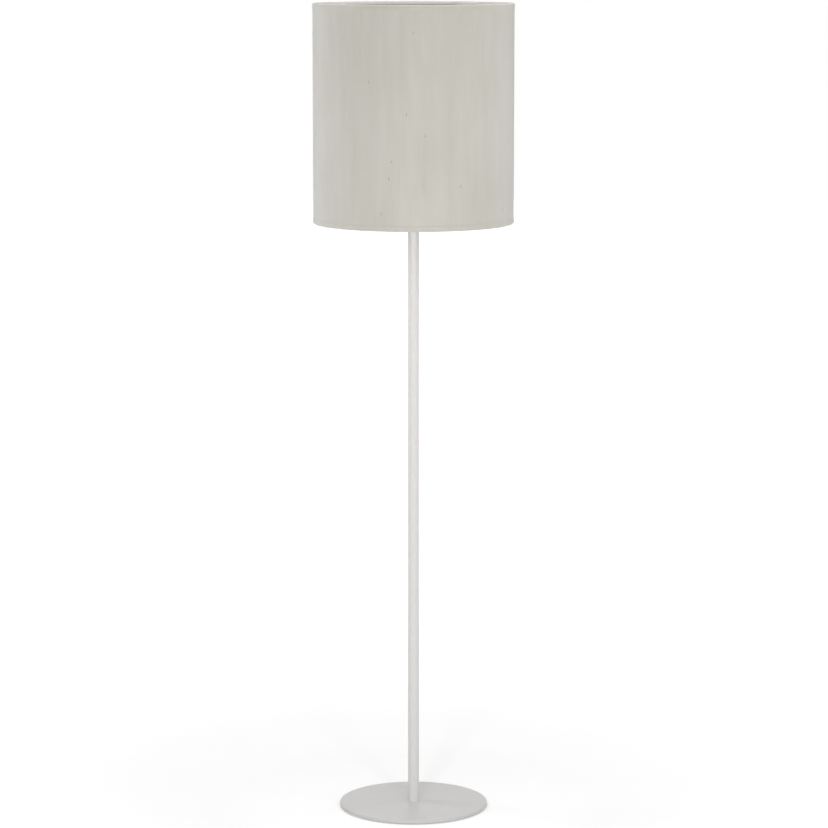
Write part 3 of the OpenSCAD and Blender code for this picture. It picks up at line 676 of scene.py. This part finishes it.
class LAMP_OT_threads(bpy.types.Operator):
    """The lampholder's threaded mantle and the bulb's screw cap"""
    bl_idname = "lamp.threads"
    bl_label = "Screw threads"
    bl_options = {"REGISTER", "UNDO"}

    SHOULDER_HEIGHT, MANTLE_WALL, LIP_HEIGHT = 0.003, 0.00155, 0.003
    CAP_SHEET = 0.00035
    # How far each corner of the two outlines is rounded, in their order
    MANTLE_EDGES = (0.0001, 0.0006, 0.0006, 0.0002, 0.001, 0.0004, 0.0002, 0.0002)
    CAP_EDGES = (0, 0.0008, 0.001, 0.0001, 0.0001, 0.001, 0.0008, 0)

    def execute(self, context):
        settings = context.scene.lamp_holder
        plastic = moulded("mantle_plastic", tuple(settings.plastic), 0.3)
        keep(self.mantle(settings), "stand", "holder_plastic", plastic, "holder_mantle")
        nickel = plated("rolled_nickel", linear(200, 199, 194), 0.24, linear(176, 172, 160))
        keep(self.cap(settings), "bulb", "nickel", nickel, "bulb_cap")
        return {"FINISHED"}

    def mantle(self, settings):
        """The mantle: shoulder, threaded wall and drawn-in mouth, turned round the axis."""
        low, high = heights("holder_mantle")
        shoulder_top = low + self.SHOULDER_HEIGHT
        shoulder = radii("holder_mantle", low, shoulder_top)[1]
        wall = radii("holder_mantle", shoulder_top + 0.002, high)[1]
        mouth = radii("holder_mantle")[0]
        bore = wall - self.MANTLE_WALL
        lip = high - self.LIP_HEIGHT
        corners = [(bore, low), (shoulder, low), (shoulder, shoulder_top), (wall, shoulder_top), (wall, high),
                   (mouth, high), (mouth, lip), (bore, lip)]
        outline = divided(rounded(corners, self.MANTLE_EDGES), 0.0004)

        def thread(angle, r, z):
            depth = screw_thread(angle, z, settings.mantle_pitch, settings.mantle_depth,
                                 shoulder_top + 0.001, high - 0.0015)
            return np.where(r > wall - 0.00001, -depth, 0.0) * (z > shoulder_top + 0.0005)

        return turned("threaded_mantle", outline, 128, thread)

    def cap(self, settings):
        """The bulb's cap: rolled sheet with a rounded thread, closed below."""
        low, high = heights("bulb_cap")
        wide = radii("bulb_cap")[1]
        floor = radii("bulb_insulator")[1]
        sheet = self.CAP_SHEET
        corners = [(0, low), (floor, low), (wide, low + wide - floor), (wide, high), (wide - sheet, high),
                   (wide - sheet, low + wide - floor + sheet / 2), (floor - sheet / 2, low + sheet),
                   (0, low + sheet)]
        outline = divided(rounded(corners, self.CAP_EDGES), 0.0003)

        def thread(angle, r, z):
            depth = screw_thread(angle, z, settings.cap_pitch, settings.cap_depth, low + 0.0026, high - 0.003)
            return np.where(r > wide - sheet - 0.00001, -depth, 0.0)

        return turned("threaded_cap", outline, 96, thread)


class LAMP_OT_switch_bar(bpy.types.Operator):
    """The push bar with its edges and ends rounded"""
    bl_idname = "lamp.switch_bar"
    bl_label = "Push bar"
    bl_options = {"REGISTER", "UNDO"}

    def execute(self, context):
        settings = context.scene.lamp_holder
        low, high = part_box("switch_bar")
        half, edge = (high.y - low.y) / 2, settings.bar_edge
        reach = (high.x - low.x) / 2 - half
        turn = np.linspace(0, math.pi / 2, 6)
        rim, drop = half - edge + edge * np.sin(turn), edge - edge * np.cos(turn)
        ring = np.concatenate([[0], rim, rim[::-1], [0]])
        z = np.concatenate([[low.z], low.z + drop, (high.z - drop)[::-1], [high.z]])
        angle = (np.arange(64) + 0.5) * 2 * math.pi / 64
        x = (low.x + high.x) / 2 + np.sign(np.cos(angle)) * reach + ring[:, None] * np.cos(angle)
        y = (low.y + high.y) / 2 + ring[:, None] * np.sin(angle)
        bar = surface("push_bar", np.stack([x, y, z[:, None] + 0 * x], -1))
        plastic = moulded("bar_plastic", tuple(settings.plastic), 0.34)
        keep(bar, "switch", "holder_plastic", plastic, "switch_bar")
        return {"FINISHED"}


class LAMP_OT_foot_felt(bpy.types.Operator):
    """The felt pad under the foot"""
    bl_idname = "lamp.foot_felt"
    bl_label = "Foot felt"
    bl_options = {"REGISTER", "UNDO"}

    def execute(self, context):
        settings = context.scene.lamp_foot
        low, high = heights("base_felt")
        hole, rim = radii("base_felt")
        corners = [(hole, low), (rim, low), (rim, high), (hole, high)]
        outline = divided(rounded(corners, settings.felt_edge), 0.004)

        def fuzz(angle, r, z):
            near_rim = smooth_step(r, rim - 0.002, rim - 0.0005)
            return near_rim * 0.00012 * (np.sin(61 * angle) * np.sin(23 * angle + 1) - 1)

        felt = turned("felt_pad", outline, 360, fuzz)
        keep(felt, "stand", "felt", felt_finish(), "base_felt")
        return {"FINISHED"}


class LAMP_OT_finishes(bpy.types.Operator):
    """The material of every CAD piece that stays"""
    bl_idname = "lamp.finishes"
    bl_label = "Finishes"
    bl_options = {"REGISTER", "UNDO"}

    def execute(self, context):
        holder, foot = context.scene.lamp_holder, context.scene.lamp_foot
        plastic = moulded("holder_plastic", tuple(holder.plastic), 0.3)
        stem = enamel("stem_enamel", tuple(foot.stem_enamel), foot.peel)
        zinc = plated("zinc_plating", linear(196, 197, 194), 0.36, linear(176, 174, 160))
        brass = plated("bare_brass", linear(205, 178, 112), 0.3, linear(168, 138, 80))
        wire = enamel("wire_enamel", linear(232, 230, 225), foot.peel / 2)
        finishes = {
            # foot_enamel is the stem's paint made darker: painted shade for the flat foot.
            enamel("foot_enamel", tuple(foot.enamel), foot.peel): ["base_plate"],
            stem: ["lower_tube", "upper_tube", "top_bush"],
            zinc: ["foot_screw", "foot_insert", "lower_joint_bush", "upper_joint_bush", "neck_screw",
                   "terminal_screws", "bulb_contact"],
            brass: ["joint_nipple", "top_nipple", "terminal_blocks", "screw_sleeve", "centre_contact",
                    "switch_springs"],
            wire: ["carrier_ring", "carrier_arms", "top_wire_ring", "bottom_wire_ring"],
            plastic: ["holder_cap", "shade_ring"],
            moulded("inlet_plastic", linear(212, 210, 205), 0.55, 0.00002): ["cable_inlet"],
            ceramic(): ["contact_block"],
            moulded("black_insulator", linear(24, 24, 25), 0.22, 0.000004): ["bulb_insulator"],
            moulded("housing_plastic", linear(238, 237, 233), 0.42): ["bulb_neck"],
            board_coat(): ["led_board"],
            opal(): ["bulb_globe"],
        }
        for material, names in finishes.items():
            for name in names:
                nodes[name].material_slots[0].material = material
        return {"FINISHED"}


class LAMP_OT_studio(bpy.types.Operator):
    """Floor, sky, lamps and camera"""
    bl_idname = "lamp.studio"
    bl_label = "Studio"
    bl_options = {"REGISTER", "UNDO"}

    # Name, bearing in degrees to the right of the front, distance from the stem's axis, height, height that
    # the lamp points at, side of its square and power in watts. Those 1.2 m away light the shade, and the
    # last one stands over its opening and lights its inside.
    LAMPS = (("front_lamp", -10, 2.3, 1.1, 1.0, 0.3, 15.0),
             ("fill_lamp", 15, 2.3, 1.1, 1.0, 0.3, 7.2),
             ("low_front_lamp", 15, 2.3, 0.5, 1.0, 0.3, 2.6),
             ("low_left_lamp", -35, 2.3, 0.5, 1.0, 0.5, 2.3),
             ("right_lamp", 40, 2.3, 1.1, 1.0, 0.5, 1.8),
             ("low_back_lamp", 120, 2.3, 0.5, 1.0, 0.5, 4.0),
             ("shade_left_lamp", -105, 1.2, 1.6, 1.45, 0.5, 6.0),
             ("shade_side_lamp", 70, 1.2, 1.6, 1.45, 0.5, 1.9),
             ("shade_right_lamp", 105, 1.2, 2.1, 1.45, 0.5, 3.4),
             ("shade_back_lamp", 180, 1.2, 1.6, 1.45, 0.5, 3.0),
             ("inside_lamp", 0, 0.1, 2.0, 1.86, 0.15, 1.9))

    def execute(self, context):
        scene, settings = context.scene, context.scene.lamp_studio
        scene.view_settings.view_transform = "Standard"
        self.floor(settings)
        self.sky(scene, settings)
        for name, bearing, away, height, aim, size, power in self.LAMPS:
            light = bpy.data.lights.new(name, "AREA")
            light.energy = power * settings.lamps
            light.size = size
            lamp = bpy.data.objects.new(name, light)
            turn = math.radians(bearing)
            lamp.location = (away * math.sin(turn), -away * math.cos(turn), height)
            lamp.rotation_euler = (Vector((0, 0, aim)) - lamp.location).to_track_quat("-Z", "Y").to_euler()
            lamp.visible_camera = False
            scene.collection.objects.link(lamp)
        camera = bpy.data.objects.new("camera", bpy.data.cameras.new("camera"))
        camera.location = (0, -settings.camera_distance, settings.camera_height)
        target = Vector((settings.aim_side, 0, settings.aim_height))
        camera.rotation_euler = (target - camera.location).to_track_quat("-Z", "Y").to_euler()
        camera.data.sensor_width = 36.0
        camera.data.lens = settings.lens
        camera.data.clip_end = 100.0
        scene.collection.objects.link(camera)
        scene.camera = camera
        return {"FINISHED"}

    @staticmethod
    def seen(tree):
        """1 for the rays of the camera, and for those that a mirror or glass passes on."""
        path = tree.nodes.new("ShaderNodeLightPath")
        total = path.outputs["Is Camera Ray"]
        for ray in ("Is Glossy Ray", "Is Transmission Ray"):
            node = tree.nodes.new("ShaderNodeMath")
            node.operation = "MAXIMUM"
            tree.links.new(total, node.inputs[0])
            tree.links.new(path.outputs[ray], node.inputs[1])
            total = node.outputs[0]
        return total

    def floor(self, settings):
        """A plain pale floor that keeps the object's shadow and otherwise runs into the white background."""
        side = np.linspace(-15, 15, 3)
        x, y = np.meshgrid(side, side)
        floor = surface("floor", np.stack([x, y, 0 * x - 0.0001], -1), around=False)
        material = bpy.data.materials.new("floor_paper")
        material.use_nodes = True
        tree = material.node_tree
        paper = tree.nodes["Principled BSDF"]
        paper.inputs["Base Color"].default_value = (*[settings.floor_tone] * 3, 1)
        paper.inputs["Roughness"].default_value = 1.0
        paper.inputs["Specular IOR Level"].default_value = 0.0
        glow, both = tree.nodes.new("ShaderNodeEmission"), tree.nodes.new("ShaderNodeAddShader")
        place, distance = tree.nodes.new("ShaderNodeTexCoord"), tree.nodes.new("ShaderNodeVectorMath")
        distance.operation = "LENGTH"
        tree.links.new(place.outputs["Object"], distance.inputs[0])
        fade = tree.nodes.new("ShaderNodeMapRange")
        spans = settings.glow_start, settings.glow_end, settings.near_glow, settings.far_glow
        for socket, value in zip(("From Min", "From Max", "To Min", "To Max"), spans):
            fade.inputs[socket].default_value = value
        tree.links.new(distance.outputs["Value"], fade.inputs["Value"])
        strength = tree.nodes.new("ShaderNodeMath")
        strength.operation = "MULTIPLY"
        tree.links.new(self.seen(tree), strength.inputs[0])
        tree.links.new(fade.outputs["Result"], strength.inputs[1])
        tree.links.new(strength.outputs[0], glow.inputs["Strength"])
        tree.links.new(paper.outputs[0], both.inputs[0])
        tree.links.new(glow.outputs[0], both.inputs[1])
        tree.links.new(both.outputs[0], tree.nodes["Material Output"].inputs["Surface"])
        floor.data.materials.append(material)

    def sky(self, scene, settings):
        """White where the camera sees it, and an even soft light from all round."""
        scene.world = bpy.data.worlds.new("studio")
        scene.world.use_nodes = True
        tree = scene.world.node_tree
        light = tree.nodes["Background"]
        light.inputs["Color"].default_value = (1, 1, 1, 1)
        light.inputs["Strength"].default_value = settings.sky
        backdrop, mix = tree.nodes.new("ShaderNodeBackground"), tree.nodes.new("ShaderNodeMixShader")
        backdrop.inputs["Color"].default_value = (1, 1, 1, 1)
        tree.links.new(self.seen(tree), mix.inputs[0])
        tree.links.new(light.outputs[0], mix.inputs[1])
        tree.links.new(backdrop.outputs[0], mix.inputs[2])
        tree.links.new(mix.outputs[0], tree.nodes["World Output"].inputs["Surface"])


STEPS = (LAMP_OT_studio, LAMP_OT_shade_cloth, LAMP_OT_shade_hems, LAMP_OT_threads, LAMP_OT_switch_bar,
         LAMP_OT_foot_felt, LAMP_OT_finishes)


class LAMP_PT_finish(bpy.types.Panel):
    """The lamp's steps and settings"""
    bl_label = "Floor lamp"
    bl_idname = "LAMP_PT_finish"
    bl_space_type = "VIEW_3D"
    bl_region_type = "UI"
    bl_category = "Lamp"

    def draw(self, context):
        for step in STEPS:
            self.layout.operator(step.bl_idname)
        for name, group in SETTINGS.items():
            box = self.layout.box()
            for setting in group.__annotations__:
                box.prop(getattr(context.scene, name), setting)


def register():
    for group in (*SETTINGS.values(), *STEPS, LAMP_PT_finish):
        bpy.utils.register_class(group)
    for name, group in SETTINGS.items():
        setattr(bpy.types.Scene, name, bpy.props.PointerProperty(type=group))


def unregister():
    for name in SETTINGS:
        delattr(bpy.types.Scene, name)
    for group in (LAMP_PT_finish, *STEPS[::-1], *list(SETTINGS.values())[::-1]):
        bpy.utils.unregister_class(group)


def main():
    """Makes the studio and every piece."""
    register()
    for step in STEPS:
        area, name = step.bl_idname.split(".")
        getattr(getattr(bpy.ops, area), name)()


if __name__ == "__main__":
    main()
